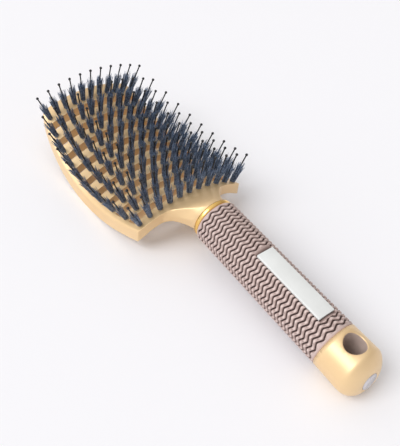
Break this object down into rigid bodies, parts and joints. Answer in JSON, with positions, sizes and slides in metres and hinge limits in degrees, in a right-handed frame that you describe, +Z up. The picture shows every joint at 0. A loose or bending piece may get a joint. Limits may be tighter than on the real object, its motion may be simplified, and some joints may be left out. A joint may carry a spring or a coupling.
{
  "type": "detangling brush",
  "caption": "Curved vented detangling brush with rows of bristle tufts and ball-ended pins, a ringed neck, a ridged rubber grip and an end cap with a hanging hole.",
  "frame": {"origin": "centre of the bounding box's footprint, on the surface that the brush lies on with its bristles up", "axes": "+Y along the brush from the cap to the head's far edge, +X across it, +Z up on the bristle side"},
  "size_m": [0.0914, 0.2474, 0.0484],
  "materials": {
    "gold_plastic": "satin metallic gold paint on moulded plastic",
    "plated_ring": "bright gold plating",
    "grip_rubber": "matte rubber with raised zigzag waves",
    "label": "bare pale plate",
    "badge": "bare pale disc",
    "bristle": "blue-black bristle bundles",
    "pin_nylon": "smooth black nylon",
    "anchor_metal": "bare wire"
  },
  "bodies": {
    "root": {"head_frame": "gold_plastic", "neck_ring": "plated_ring", "grip_sleeve": "grip_rubber", "label_plate": "label", "end_cap": "gold_plastic", "end_badge": "badge", "tufts_row_01": "bristle", "tufts_row_02": "bristle", "tufts_row_03": "bristle", "tufts_row_04": "bristle", "tufts_row_05": "bristle", "tufts_row_06": "bristle", "tufts_row_07": "bristle", "tufts_row_08": "bristle", "tufts_row_09": "bristle", "tufts_row_10": "bristle", "pins_row_01": "pin_nylon", "pins_row_02": "pin_nylon", "pins_row_03": "pin_nylon", "pins_row_04": "pin_nylon", "pins_row_05": "pin_nylon", "pins_row_06": "pin_nylon", "pins_row_07": "pin_nylon", "pins_row_08": "pin_nylon", "pins_row_09": "pin_nylon", "pins_row_10": "pin_nylon", "anchors_row_01": "anchor_metal", "anchors_row_02": "anchor_metal", "anchors_row_03": "anchor_metal", "anchors_row_04": "anchor_metal", "anchors_row_05": "anchor_metal", "anchors_row_06": "anchor_metal", "anchors_row_07": "anchor_metal", "anchors_row_08": "anchor_metal", "anchors_row_09": "anchor_metal", "anchors_row_10": "anchor_metal"}
  },
  "joints": []
}
